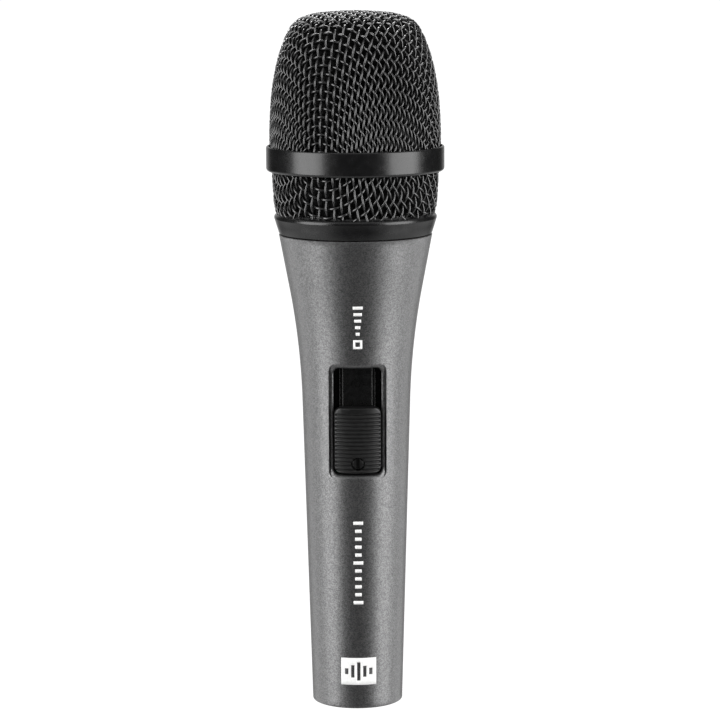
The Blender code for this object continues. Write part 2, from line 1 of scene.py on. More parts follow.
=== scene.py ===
"""The looks of a switched handheld dynamic vocal microphone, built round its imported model.

Metres, +Z along the microphone with the grille at the top, the slide switch facing -Y.
Azimuths are measured from -Y towards +X.
"""
import math

import bmesh
import bpy
import numpy as np
from mathutils import Matrix, Vector


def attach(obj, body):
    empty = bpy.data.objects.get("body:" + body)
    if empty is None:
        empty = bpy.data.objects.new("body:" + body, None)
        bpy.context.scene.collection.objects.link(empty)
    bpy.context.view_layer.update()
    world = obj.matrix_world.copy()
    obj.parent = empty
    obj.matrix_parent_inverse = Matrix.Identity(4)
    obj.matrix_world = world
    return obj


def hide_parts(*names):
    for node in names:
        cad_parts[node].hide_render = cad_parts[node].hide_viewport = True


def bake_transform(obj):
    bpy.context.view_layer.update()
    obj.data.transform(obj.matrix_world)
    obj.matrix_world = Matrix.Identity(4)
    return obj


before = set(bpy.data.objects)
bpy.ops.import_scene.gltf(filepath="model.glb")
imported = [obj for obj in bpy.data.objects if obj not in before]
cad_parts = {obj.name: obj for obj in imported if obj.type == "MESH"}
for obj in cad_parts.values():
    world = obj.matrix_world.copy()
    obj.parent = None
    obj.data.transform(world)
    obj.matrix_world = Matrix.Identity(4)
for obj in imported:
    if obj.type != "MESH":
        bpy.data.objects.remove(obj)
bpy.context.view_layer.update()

# ---------------- the model's own dimensions

GAP = 0.0003
HANDLE_TOP = 0.1263
HANDLE_BOTTOM_RADIUS = 0.01204
FOOT_RADIUS = 0.0004
TAPER = 0.0285
FLARE = (0.082, 0.110)
FLARE_SLOPE = 0.175
SHOULDER_RADIUS = 0.0203
WALL = 0.0023
NECK_TOP = 0.133
NECK_RADIUS = 0.0174
NECK_BORE = 0.0158
SOCKET_BORE = 0.0098
SOCKET_DEPTH = 0.024
SET_SCREW_Z = 0.0095
SET_SCREW_HOLE = 0.0015

WINDOW_Z = 0.0625           # bottom edge of the recessed land round the switch
LAND_SIZE = (0.01505, 0.0309)
LAND_DEPTH = 0.0007
LAND_RADIUS = 0.002
OPENING_SIZE = (0.0127, 0.0286)
OPENING_RADIUS = 0.0015
WINDOW_MIDDLE = WINDOW_Z + LAND_SIZE[1] / 2

SLIDER_SIZE = (0.0123, 0.0175)
SLIDER_BOTTOM = 0.0017
SLIDER_BACK = 0.00305
SLIDER_PROUD = 0.00015
SLIDER_CORNER = 0.0018
RIB_COUNT = 15
RIB_PITCH = 0.00105
RIB_DEPTH = 0.00035
FIRST_RIB = 0.0019          # below the slider's top
LEG = (0.00505, 0.00575)
LOCK_Z = 0.0042
LOCK_RADIUS = 0.0017
TRAY_SIZE = (0.0121, 0.0280)
TRAY_FACE = 0.00335
TRAY_BACK = 0.0074
TRAY_PLATEAU = 0.00395
TRAY_LEDGE = (0.00475, 0.00385)
TRAY_GROOVE = 0.0056
BOARD_SCREW_Z = (0.0045, 0.0265)

COLLAR_BORE = 0.0184
COLLAR_LIP = 0.1322
BEAD_Z = 0.1308             # widest part of the collar's rolled lip
BEAD_RADIUS = 0.0009
LIP_RADIUS = 0.0215
BAND_RADIUS = 0.0235
BAND = (0.143, 0.1496)
WEB = (0.1455, 0.1471)
WEB_BORE = 0.0193
MESH_THICKNESS = 0.0012
MESH_BORE_IN_BAND = 0.02295
SLEEVE_BORE_IN_BAND = 0.0226
BAND_FILLET = 0.0009
FOAM_THICKNESS = 0.003
DOME = [(0.0226, 0.1474), (0.0225, 0.1560), (0.0217, 0.1655), (0.0197, 0.1744),
        (0.01635, 0.1815), (0.0115, 0.1840), (0.0057, 0.1847), (0.0, 0.1850)]

# ---------------- what the looks add

COLUMNS = 144               # segments of the handle
FINE = 192                  # segments of the other large turned pieces
WIRE = 0.00030              # radius of the grille's wire
DOME_PITCH = 0.00202        # wire spacing of the flat mesh that the dome is drawn from
SLEEVE_PITCH = 0.0022
DOME_GRAIN = -25.5          # azimuth in degrees where the dome's wires stand upright
SLEEVE_GRAIN = -22.5
DRAW = (0.772, -0.121, -0.014, -0.021)       # how the mesh shears as it is drawn: odd harmonics
WIRE_SIDES = 8
WIRE_STEPS = 4              # points along a wire in each pitch
CRIMP_LIFT = 1.15           # how far a wire rises at a crossing, in wire radii
THREAD_LEAD = 0.0015
THREAD_HEIGHT = 0.0006
THREAD_FADE = 0.0006
SHOULDER_EDGE = 0.00035
SWITCH_PATCH = (0.0515, 0.1045, 22)          # heights, and columns to each side, that the handle's
SET_SCREW_PATCH = (0.0045, 0.0145, 6)        # grid gives up round an opening
SEAT_RADIUS = 0.0197        # the collar's ring that the sleeve stands round
SEAT_TOP = 0.1336
SLEEVE_FOAM = (0.0176, 0.0201, 0.1340, 0.1450)
FOAM_SKIRT = (0.01985, 0.1325)
SQUARE_MARK_Z = 0.0988
LEVEL_MARK_Z = 0.1016
TICK_MARK_Z = 0.0292
BADGE_Z = 0.0103
BADGE_HALF = (0.00465, 0.0037)
INK_THICKNESS = 0.00006
LIGHT_DISTANCE = 2.4
STAGE_RADIUS = 5.0


# ---------------- outlines

def handle_radius(z):
    """Outer radius of the handle: a straight taper, a flare, and a cone to the shoulder."""
    start, end = FLARE
    straight = HANDLE_BOTTOM_RADIUS + TAPER * min(z, start)
    if z <= start:
        return straight
    bend = (FLARE_SLOPE - TAPER) / (2 * (end - start))
    run = min(z, end) - start
    flared = straight + TAPER * run + bend * run ** 2
    if z <= end:
        return flared
    return flared + (SHOULDER_RADIUS - flared) * (z - end) / (HANDLE_TOP - end)


def bore_radius(z):
    """Inner radius of the handle: the socket bore, the hollow of the grip, and the neck's bore."""
    if z <= SOCKET_DEPTH:
        return SOCKET_BORE
    if z <= FLARE[1]:
        return handle_radius(z) - WALL
    low = handle_radius(FLARE[1]) - WALL
    share = min((z - FLARE[1]) / 0.0046, 1.0)
    return low + (NECK_BORE - low) * share


def arc(centre, radius, start, end, count):
    """Points on a circle between two angles in degrees, both included."""
    angles = np.radians(np.linspace(start, end, count + 1))
    return [(centre[0] + radius * math.cos(a), centre[1] + radius * math.sin(a)) for a in angles]


def smooth_curve(points, per_span):
    """Catmull-Rom curve through the points."""
    knots = [Vector(p) for p in points]
    knots = [2 * knots[0] - knots[1]] + knots + [2 * knots[-1] - knots[-2]]
    curve = []
    for a, b, c, d in zip(knots, knots[1:], knots[2:], knots[3:]):
        for i in range(per_span):
            t = i / per_span
            curve.append(0.5 * (2 * b + (c - a) * t + (2 * a - 5 * b + 4 * c - d) * t ** 2
                                + (3 * b - a - 3 * c + d) * t ** 3))
    curve.append(knots[-2])
    return [tuple(p) for p in curve]


def inset(outline, distance):
    """The outline moved towards its inner side by a distance, square to its own direction."""
    moved = []
    for i, (r, z) in enumerate(outline):
        before = Vector(outline[max(i - 1, 0)])
        after = Vector(outline[min(i + 1, len(outline) - 1)])
        along = (after - before).normalized()
        moved.append((max(r - along.y * distance, 0.0), z + along.x * distance))
    return moved


def rounded_outline(width, height, radius, across, up):
    """A rounded rectangle round the origin, from its lower left corner and counter-clockwise.

    The bottom and the top have `across` steps and each side has `up`. Every run starts and
    ends in the middle of a corner.
    """
    x, z = width / 2 - radius, height / 2 - radius
    corners = [(-x, -z), (x, -z), (x, z), (-x, z)]
    bend = radius * math.pi / 4
    points = []
    for side, count in enumerate((across, up, across, up)):
        first, last = Vector(corners[side]), Vector(corners[(side + 1) % 4])
        straight = (last - first).length
        angle = math.radians(225 + 90 * side)
        for i in range(count):
            run = (2 * bend + straight) * i / count
            centre, turn = first, run
            if run > bend + straight:
                centre, turn = last, run - straight
            elif run > bend:
                centre, turn = first.lerp(last, (run - bend) / straight), bend
            a = angle + turn / max(radius, 1e-9)
            points.append((centre.x + radius * math.cos(a), centre.y + radius * math.sin(a)))
    return points


# ---------------- makers

def piece(name, verts, faces, material, body, slot, stands_for=(), crease=35, outward=True):
    """A smooth-shaded mesh piece that rides on a body, with its edges sharp past an angle."""
    mesh = bpy.data.meshes.new(name)
    mesh.from_pydata(np.asarray(verts).tolist(), [], faces)
    if outward:
        bm = bmesh.new()
        bm.from_mesh(mesh)
        bmesh.ops.recalc_face_normals(bm, faces=bm.faces)
        bm.to_mesh(mesh)
        bm.free()
    mesh.shade_smooth()
    mesh.set_sharp_from_angle(angle=math.radians(crease))
    mesh.materials.append(material)
    made = bpy.data.objects.new(name, mesh)
    bpy.context.collection.objects.link(made)
    if body:
        settle(made, body, stands_for)
    return made


def settle(made, body, stands_for=()):
    """Tie a piece to its body and the nodes that it stands for."""
    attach(made, body)
    if stands_for:
        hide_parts(*stands_for)


def band_faces(first, second):
    """Quads between two closed loops of as many vertices."""
    count = len(first)
    return [(first[i], first[(i + 1) % count], second[(i + 1) % count], second[i]) for i in range(count)]


def lathe(outline, columns=FINE, closed=True):
    """Vertices and faces of a turned piece. A closed outline makes a ring; an open one starts and
    ends on the axis."""
    outline = [tuple(p) for p in outline]
    ends = [] if closed else [outline[0], outline[-1]]
    rows = outline if closed else outline[1:-1]
    angles = np.arange(columns) * 2 * math.pi / columns
    verts = [(r * math.sin(a), -r * math.cos(a), z) for r, z in rows for a in angles]
    count = len(rows)
    faces = []
    loops = [range(i * columns, (i + 1) * columns) for i in range(count)]
    for i in range(count if closed else count - 1):
        faces += band_faces(loops[i], loops[(i + 1) % count])
    for end, row in zip(ends, (0, count - 1)):
        pole = len(verts)
        verts.append((0.0, 0.0, end[1]))
        faces += [(row * columns + j, row * columns + (j + 1) % columns, pole) for j in range(columns)]
    return verts, faces


def block(low, high):
    """Vertices and faces of a box between two corners."""
    verts = [(x, y, z) for z in (low[2], high[2]) for y in (low[1], high[1]) for x in (low[0], high[0])]
    faces = [(0, 2, 3, 1), (4, 5, 7, 6), (0, 1, 5, 4), (2, 6, 7, 3), (0, 4, 6, 2), (1, 3, 7, 5)]
    return verts, faces


def placed(matrix, verts):
    """Vertices moved by a matrix."""
    return [tuple(matrix @ Vector(v)) for v in verts]


def cut(target, verts, faces, operation='DIFFERENCE'):
    """Cut a piece with a closed solid, or join the solid to it, and keep the result."""
    tool = piece("tool", verts, faces, None, None, None)
    boolean = target.modifiers.new("boolean", 'BOOLEAN')
    boolean.operation = operation
    boolean.object = tool
    evaluated = target.evaluated_get(bpy.context.evaluated_depsgraph_get())
    mesh = bpy.data.meshes.new_from_object(evaluated)
    target.modifiers.clear()
    old, target.data = target.data, mesh
    mesh.name = old.name
    bpy.data.meshes.remove(old)
    bpy.data.objects.remove(tool)


def seat(made, matrix, crease, body, node):
    """Move a cut piece to its place, smooth it up to an angle, and settle it."""
    made.data.transform(matrix)
    made.data.shade_smooth()
    made.data.set_sharp_from_angle(angle=math.radians(crease))
    settle(made, body, [node])


SWITCH = (Matrix.Translation((0, -handle_radius(WINDOW_Z), WINDOW_Z))
          @ Matrix.Rotation(math.atan(TAPER), 4, 'X'))      # x across, y into the handle, z up it
TOWARDS_FRONT = Matrix.Rotation(math.radians(90), 4, 'X')   # a turned piece's axis to point along -Y


# ---------------- finishes

def feed(tree, value, socket):
    """Link a socket to another, or set its value."""
    if isinstance(value, bpy.types.NodeSocket):
        tree.links.new(value, socket)
    else:
        socket.default_value = value


def math_node(tree, operation, a, b):
    made = tree.nodes.new("ShaderNodeMath")
    made.operation = operation
    feed(tree, a, made.inputs[0])
    feed(tree, b, made.inputs[1])
    return made.outputs[0]


def mapped(tree, value, start, end, low, high, kind='LINEAR'):
    """A value mapped from start..end to low..high."""
    made = tree.nodes.new("ShaderNodeMapRange")
    made.interpolation_type = kind
    for name, number in (("From Min", start), ("From Max", end), ("To Min", low), ("To Max", high)):
        made.inputs[name].default_value = number
    feed(tree, value, made.inputs["Value"])
    return made.outputs[0]


class Finish:
    """A Principled material whose colour, roughness and relief come from procedural nodes."""

    def __init__(self, name, color, roughness, metallic=0.0, **sockets):
        self.material = bpy.data.materials.new(name)
        self.material.use_nodes = True
        self.tree = self.material.node_tree
        self.surface = self.tree.nodes["Principled BSDF"]
        self.place = self.node("ShaderNodeTexCoord").outputs["Object"]
        self.color, self.roughness = (*color, 1.0), roughness
        self.set("Base Color", self.color)
        self.set("Roughness", roughness)
        self.set("Metallic", metallic)
        for socket, value in sockets.items():
            self.set(socket.replace("_", " "), value)

    def set(self, socket, value):
        self.surface.inputs[socket].default_value = value

    def node(self, kind, settings=None, **inputs):
        made = self.tree.nodes.new(kind)
        for name, value in (settings or {}).items():
            setattr(made, name, value)
        for name, value in inputs.items():
            feed(self.tree, value, made.inputs[name.replace("_", " ")])
        return made

    def drive(self, name, value):
        feed(self.tree, value, self.surface.inputs[name])

    def noise(self, scale, detail=3.0, stretch=(1, 1, 1)):
        """Noise of a number of features a metre, stretched along the axes."""
        where = self.node("ShaderNodeMapping", Vector=self.place, Scale=stretch).outputs[0]
        return self.node("ShaderNodeTexNoise", Vector=where, Scale=scale, Detail=detail).outputs["Fac"]

    def cells(self, scale):
        return self.node("ShaderNodeTexVoronoi", Vector=self.place, Scale=scale)

    def bands(self, scale, direction='Z', distortion=0.0):
        return self.node("ShaderNodeTexWave", {"bands_direction": direction}, Vector=self.place,
                         Scale=scale, Distortion=distortion).outputs["Fac"]

    def spread(self, value, low, high, start=0.0, end=1.0):
        return mapped(self.tree, value, start, end, low, high)

    def join(self, operation, a, b):
        return math_node(self.tree, operation, a, b)

    def tint(self, share, low, high):
        """A colour between two, by a share."""
        made = self.node("ShaderNodeMix", {"data_type": 'RGBA'})
        for value, key in ((share, "Factor"), ((*low, 1.0), 6), ((*high, 1.0), 7)):
            feed(self.tree, value, made.inputs[key])
        return made.outputs[2]

    def mottle(self, scale, color_change, roughness_change, stretch=(1, 1, 1)):
        """Uneven colour and gloss from one noise."""
        fac = self.noise(scale, 4.0, stretch)
        low = [c * (1 - color_change) for c in self.color[:3]]
        high = [min(c * (1 + color_change), 1.0) for c in self.color[:3]]
        self.drive("Base Color", self.tint(self.spread(fac, 0, 1, 0.3, 0.7), low, high))
        self.drive("Roughness", self.spread(fac, self.roughness - roughness_change,
                                            self.roughness + roughness_change, 0.3, 0.7))
        return self

    def relief(self, height, depth):
        """Bump from a height of 0 to 1 and a real depth in metres."""
        bump = self.node("ShaderNodeBump", Height=height, Strength=1.0, Distance=depth)
        self.drive("Normal", bump.outputs[0])
        return self

    def patterned(self, pattern, low, high, depth):
        """Colour between two, and relief, both from one pattern."""
        self.drive("Base Color", self.tint(pattern, low, high))
        return self.relief(pattern, depth)

    def grained(self, scale, depth):
        return self.relief(self.noise(scale, 5.0), depth)


def plain_finish(name, color, roughness, metallic, mottle, grain, specular=0.5):
    """A finish that needs only uneven colour and gloss and a fine grain."""
    made = Finish(name, color, roughness, metallic, Specular_IOR_Level=specular)
    return made.mottle(*mottle).grained(*grain).material


def paint_finish():
    """Charcoal paint: metal flakes that each lie at their own tilt, under a faint orange peel."""
    made = Finish("charcoal_metallic_paint", (0.1, 0.1, 0.1), 0.4, 0.85, Coat_Weight=0.4,
                  Coat_Roughness=0.5)
    flakes = made.cells(4200)
    grey = made.node("ShaderNodeSeparateColor", Color=flakes.outputs["Color"])
    patch = made.noise(900, 4.0)
    glint = made.join('MULTIPLY', made.spread(grey.outputs[0], 0.62, 1.38), made.spread(patch, 0.8, 1.2))
    made.drive("Base Color", made.tint(made.spread(glint, 0, 1, 0.5, 1.6), (0.045, 0.045, 0.0455),
                                       (0.16, 0.16, 0.1615)))
    made.drive("Roughness", made.spread(grey.outputs[1], 0.35, 0.46))
    tilt = made.join('ADD', made.spread(grey.outputs[2], 0, 0.5), made.spread(made.noise(1400), 0, 0.5))
    return made.relief(tilt, 0.000012).material


def foam_finish():
    made = Finish("open_cell_foam", (0.004, 0.004, 0.004), 0.95, Specular_IOR_Level=0.15)
    pores = made.cells(1600).outputs["Distance"]
    return made.patterned(pores, (0.001, 0.001, 0.001), (0.006, 0.006, 0.006), 0.0004).material


def lamination_finish():
    """Edges of the stacked core plates, each under a thin varnish."""
    made = Finish("varnished_laminations", (0.3, 0.3, 0.31), 0.45, 0.8)
    return made.patterned(made.bands(450, 'Y'), (0.1, 0.09, 0.08), (0.34, 0.34, 0.35), 0.0001).material


def winding_finish():
    """Turns of enamelled wire, wound round the core's middle leg."""
    made = Finish("enamelled_copper", (0.45, 0.16, 0.06), 0.3, 0.9)
    turns = made.bands(1300, 'Z', 0.4)
    return made.patterned(turns, (0.2, 0.06, 0.02), (0.55, 0.2, 0.08), 0.00012).material


def board_finish():
    """Green resist over etched tracks."""
    made = Finish("solder_resist", (0.02, 0.12, 0.06), 0.35)
    tracks = made.node("ShaderNodeTexBrick", Vector=made.place, Scale=260.0, Mortar_Size=0.03)
    made.drive("Roughness", made.spread(made.noise(700), 0.28, 0.42))
    return made.patterned(tracks.outputs["Fac"], (0.015, 0.09, 0.045), (0.03, 0.16, 0.08), 0.00004).material


def cloth_finish():
    """Fine acoustic cloth in a plain weave."""
    made = Finish("acoustic_cloth", (0.05, 0.05, 0.05), 0.9)
    weave = made.join('MULTIPLY', made.bands(900, 'X', 0.3), made.bands(900, 'Y', 0.3))
    return made.patterned(weave, (0.02, 0.02, 0.02), (0.075, 0.075, 0.075), 0.00012).material


def glass_finish():
    made = Finish("reed_glass", (0.7, 0.85, 0.74), 0.05, 0.0, Transmission_Weight=0.85, IOR=1.5)
    made.drive("Roughness", made.spread(made.noise(500), 0.03, 0.09))
    return made.material


# name, colour, roughness, metallic, (mottle's scale, colour and gloss change), (grain's scale, depth)
PLAIN_FINISHES = {
    "satin_black": ("satin_black_coat", (0.005, 0.005, 0.0052), 0.26, 0.0, (500, 0.15, 0.03),
                    (5000, 0.000002)),
    "wire": ("coated_wire", (0.008, 0.008, 0.0082), 0.2, 0.0, (700, 0.3, 0.05), (5000, 0.000003), 0.8),
    "tray": ("moulded_black", (0.003, 0.003, 0.003), 0.27, 0.0, (900, 0.2, 0.05), (9000, 0.00001)),
    "slider": ("slider_black", (0.0055, 0.0055, 0.0055), 0.36, 0.0, (900, 0.2, 0.05), (7000, 0.000006), 0.38),
    "screw": ("screw_black", (0.006, 0.006, 0.006), 0.38, 0.0, (900, 0.2, 0.05), (7000, 0.000008)),
    "capsule": ("capsule_moulding", (0.03, 0.03, 0.032), 0.5, 0.0, (600, 0.15, 0.05), (6000, 0.00002)),
    "rubber": ("soft_rubber", (0.02, 0.02, 0.02), 0.8, 0.0, (500, 0.25, 0.06), (5000, 0.00003)),
    "ink": ("white_ink", (0.83, 0.83, 0.82), 0.45, 0.0, (2500, 0.05, 0.06), (6000, 0.000005)),
    "socket": ("nickel_plating", (0.6, 0.59, 0.56), 0.26, 1.0, (300, 0.08, 0.06), (4000, 0.000005)),
    "pin": ("silver_plating", (0.78, 0.76, 0.72), 0.2, 1.0, (900, 0.07, 0.07), (5000, 0.000004)),
    "steel": ("bright_steel", (0.6, 0.6, 0.6), 0.28, 1.0, (1200, 0.08, 0.07), (6000, 0.000005)),
    "yoke": ("zinc_plated_steel", (0.55, 0.55, 0.56), 0.36, 1.0, (450, 0.12, 0.08), (3500, 0.00001)),
    "magnet": ("sintered_magnet", (0.09, 0.09, 0.10), 0.5, 0.7, (1500, 0.25, 0.1), (8000, 0.00002)),
    "brass": ("tinned_brass", (0.7, 0.55, 0.3), 0.3, 1.0, (1500, 0.1, 0.08), (6000, 0.00001)),
    "film": ("polyester_film", (0.55, 0.50, 0.38), 0.2, 0.0, (500, 0.06, 0.04), (2000, 0.00001)),
}
SLEEVES = {"black": (0.02, 0.02, 0.02), "red": (0.5, 0.03, 0.02), "blue": (0.03, 0.09, 0.4),
           "white": (0.7, 0.7, 0.68)}


def make_finishes():
    """Every material, by the name that the makers use for it."""
    made = {"paint": paint_finish(), "foam": foam_finish(), "cloth": cloth_finish(),
            "lamination": lamination_finish(), "winding": winding_finish(), "board": board_finish(),
            "glass": glass_finish()}
    made.update({name: plain_finish(*look) for name, look in PLAIN_FINISHES.items()})
    for name, color in SLEEVES.items():
        made[name] = plain_finish(f"{name}_sleeve", color, 0.42, 0.0, (400, 0.12, 0.06), (3000, 0.00001))
    return made


# ---------------- handle

class Shell:
    """The handle's wall as one grid of profile rows and columns, with openings let into it."""

    def __init__(self, columns):
        self.columns = columns
        self.verts, self.faces = [], []
        self.row_z, self.skipped = [], set()

    def row(self, radii, z):
        """Add a profile row. The radius may differ from column to column."""
        radii = np.broadcast_to(radii, self.columns)
        angles = np.arange(self.columns) * 2 * math.pi / self.columns
        self.verts += [(r * math.sin(a), -r * math.cos(a), z) for r, a in zip(radii, angles)]
        self.row_z.append(z)

    def index(self, row, column):
        return row * self.columns + column % self.columns

    def border(self, low, high, left, right):
        """Vertices round a window of the grid, counter-clockwise from its lower left corner."""
        up = range(low, high, 1 if high > low else -1)
        down = range(high, low, -1 if high > low else 1)
        return ([self.index(low, c) for c in range(left, right)] + [self.index(r, right) for r in up]
                + [self.index(high, c) for c in range(right, left, -1)]
                + [self.index(r, left) for r in down])

    def skip(self, low, high, left, right):
        for r in range(min(low, high), max(low, high)):
            self.skipped |= {self.index(r, c) for c in range(left, right)}

    def loop(self, points):
        start = len(self.verts)
        self.verts += points
        return list(range(start, len(self.verts)))

    def grid(self):
        """Faces between all rows, the last and the first included, but for the windows."""
        rows = len(self.row_z)
        for r in range(rows):
            for c in range(self.columns):
                if self.index(r, c) not in self.skipped:
                    k = (r + 1) % rows
                    self.faces.append((self.index(r, c), self.index(r, c + 1),
                                       self.index(k, c + 1), self.index(k, c)))


def on_wall(angle, z, radius):
    return (radius * math.sin(angle), -radius * math.cos(angle), z)


def open_window(shell, outer, inner, left, right, middle, loops):
    """Cut one opening through the wall.

    outer and inner are the first and last profile rows of the window on each face, middle is
    the opening's azimuth and height, and loops are (width, height, corner, depth, end depth)
    from the outer face to the inner one, where the end depth holds along the top and bottom.
    """
    azimuth, height = middle
    across, up = right - left, abs(outer[1] - outer[0])
    rims = []
    for low, high in (outer, inner):
        shell.skip(low, high, left, right)
        rims.append(shell.border(low, high, left, right))

    def ring(loop, surface, on_face=False):
        """Azimuth, height and radius of the points of one loop."""
        width, tall, corner, depth, end_depth = loop
        spots = []
        for x, z in rounded_outline(width, tall, corner, across, up):
            share = min(max((abs(z) - tall / 2) / corner + 1, 0), 1)
            sunk = 0 if on_face else depth + (end_depth - depth) * share
            radius = surface(height + z) - sunk
            spots.append((math.asin(x / radius), height + z, radius))
        return spots

    def blend(spots, rim, surface, count):
        """Loops that pass from the opening's outline to the window's border."""
        made = []
        for share in np.linspace(0, 1, count + 2)[1:-1]:
            points = []
            for (angle, z, _), vertex in zip(spots, rim):
                x, y, rim_z = shell.verts[vertex]
                rim_angle = (math.atan2(x, -y) - azimuth + math.pi) % (2 * math.pi) - math.pi
                a = angle + (rim_angle - angle) * share
                h = z + (rim_z - z) * share
                points.append(on_wall(azimuth + a, h, surface(h)))
            made.append(shell.loop(points))
        return made

    chain = [rims[0]]
    chain += reversed(blend(ring(loops[0], handle_radius, True), rims[0], handle_radius, 7))
    for loop in loops:
        chain.append(shell.loop([on_wall(azimuth + a, z, r) for a, z, r in ring(loop, handle_radius)]))
    last = ring(loops[-1], bore_radius, True)
    chain.append(shell.loop([on_wall(azimuth + a, z, r) for a, z, r in last]))
    chain += blend(last, rims[1], bore_radius, 3)
    chain.append(rims[1])
    for first, second in zip(chain, chain[1:]):
        shell.faces += band_faces(first, second)


def neck_radii(z, columns):
    """Radius of the threaded neck round one row: a right-hand ridge that fades at both ends."""
    angles = np.arange(columns) * 2 * math.pi / columns
    phase = ((z - HANDLE_TOP) / THREAD_LEAD - angles / (2 * math.pi)) % 1.0
    ridge = np.clip(1.6 - 3.2 * np.abs(phase - 0.5) * 2, 0.0, 1.0)
    to_end = min(z - HANDLE_TOP - 0.0007, NECK_TOP - 0.0006 - z)
    fade = min(max(to_end / THREAD_FADE, 0.0), 1.0)
    return NECK_RADIUS + THREAD_HEIGHT * ridge * fade


def make_handle(finish):
    """Tapered shell with the socket bore, the recessed switch opening and the threaded neck."""
    shell = Shell(COLUMNS)
    rim = FOOT_RADIUS
    for r, z in arc((HANDLE_BOTTOM_RADIUS - rim, rim), rim, -90, 0, 6)[:-1]:
        shell.row(r, z)
    heights = sorted(set(np.linspace(rim, HANDLE_TOP - 0.0003, 101)) | {SOCKET_DEPTH, SOCKET_DEPTH + 0.001})
    outer_start = len(shell.row_z)
    for z in heights:
        shell.row(handle_radius(z), z)
    edge = SHOULDER_EDGE
    for r, z in arc((SHOULDER_RADIUS - edge, HANDLE_TOP - edge), edge, 20, 90, 4):
        shell.row(r, z)
    for z in np.arange(HANDLE_TOP, NECK_TOP - 0.0004, 0.00015):
        shell.row(neck_radii(z, COLUMNS), z)
    for r, z in arc((NECK_RADIUS - 0.0004, NECK_TOP - 0.0004), 0.0004, 0, 90, 4):
        shell.row(r, z)
    shell.row(NECK_BORE + 0.0003, NECK_TOP)
    shell.row(NECK_BORE, NECK_TOP - 0.0003)
    inner_start = len(shell.row_z)
    for z in reversed(heights):
        shell.row(bore_radius(z), z)
    shell.row(SOCKET_BORE, 0.0005)
    shell.row(SOCKET_BORE + 0.0004, 0)

    def window(low, high):
        """Profile rows nearest two heights, on the outer and the inner face."""
        first, last = (min(range(len(heights)), key=lambda i: abs(heights[i] - z)) for z in (low, high))
        end = inner_start + len(heights) - 1
        return (outer_start + first, outer_start + last), (end - first, end - last)

    wide, tall = LAND_SIZE
    narrow, short = OPENING_SIZE
    land = [(0.0006, 0.0, 0.0), (0.00016, 0.0, 0.0), (0.00005, 0.00003, 0.0), (0.0, 0.00012, 0.0),
            (-0.00002, 0.00045, 0.00001), (-0.0001, 0.00062, 0.00002), (-0.00028, LAND_DEPTH, 0.00006)]
    lip = [(0.0006, LAND_DEPTH + 0.00006, 0.0002), (0.0003, LAND_DEPTH + 0.00016, 0.00044),
           (0.0001, LAND_DEPTH + 0.0003, LAND_DEPTH), (0.0, LAND_DEPTH + 0.0005, LAND_DEPTH + 0.0004),
           (0.0, WALL - 0.0003, WALL - 0.0003)]
    loops = [(wide + 2 * d, tall + 2 * d, LAND_RADIUS + d, *depths) for d, *depths in land]
    loops += [(narrow + 2 * d, short + 2 * d, OPENING_RADIUS + d, *depths) for d, *depths in lip]
    *patch, side = SWITCH_PATCH
    open_window(shell, *window(*patch), -side, side, (0.0, WINDOW_MIDDLE), loops)

    hole = 2 * SET_SCREW_HOLE
    loops = [(hole + 2 * d, hole + 2 * d, SET_SCREW_HOLE + d, depth, depth)
             for d, depth in ((0.0002, 0.0), (0.00005, 0.00005), (0.0, 0.0002), (0.0, 0.002))]
    *patch, side = SET_SCREW_PATCH
    back = COLUMNS // 2
    open_window(shell, *window(*patch), back - side, back + side, (math.pi, SET_SCREW_Z), loops)

    shell.grid()
    piece("handle_body", shell.verts, shell.faces, finish["paint"], "handle", "handle_paint",
          ["handle_shell"], crease=50)


# ---------------- printed marks

class Marks:
    """Thin ink areas that follow the handle's surface."""

    def __init__(self):
        self.verts, self.faces, self.seen = [], [], {}

    def vertex(self, x, z):
        key = (round(x * 1e7), round(z * 1e7))
        if key not in self.seen:
            radius = handle_radius(z) + 0.00002
            self.seen[key] = len(self.verts)
            self.verts.append((x, -math.sqrt(radius ** 2 - x ** 2), z))
        return self.seen[key]

    def bar(self, x, z, width, height):
        """A bar round a centre, in strips narrow enough to follow the curve."""
        self.plate([x - width / 2, x + width / 2], [z - height / 2, z + height / 2], set())

    def plate(self, xs, zs, missing):
        """A grid of areas between the x and z lines, but for the cells that are missing."""
        for i, (x0, x1) in enumerate(zip(xs, xs[1:])):
            for k, (z0, z1) in enumerate(zip(zs, zs[1:])):
                if (i, k) in missing:
                    continue
                strips = np.linspace(x0, x1, max(1, math.ceil((x1 - x0) / 0.0005)) + 1)
                for a, b in zip(strips, strips[1:]):
                    self.faces.append([self.vertex(a, z0), self.vertex(b, z0),
                                       self.vertex(b, z1), self.vertex(a, z1)])


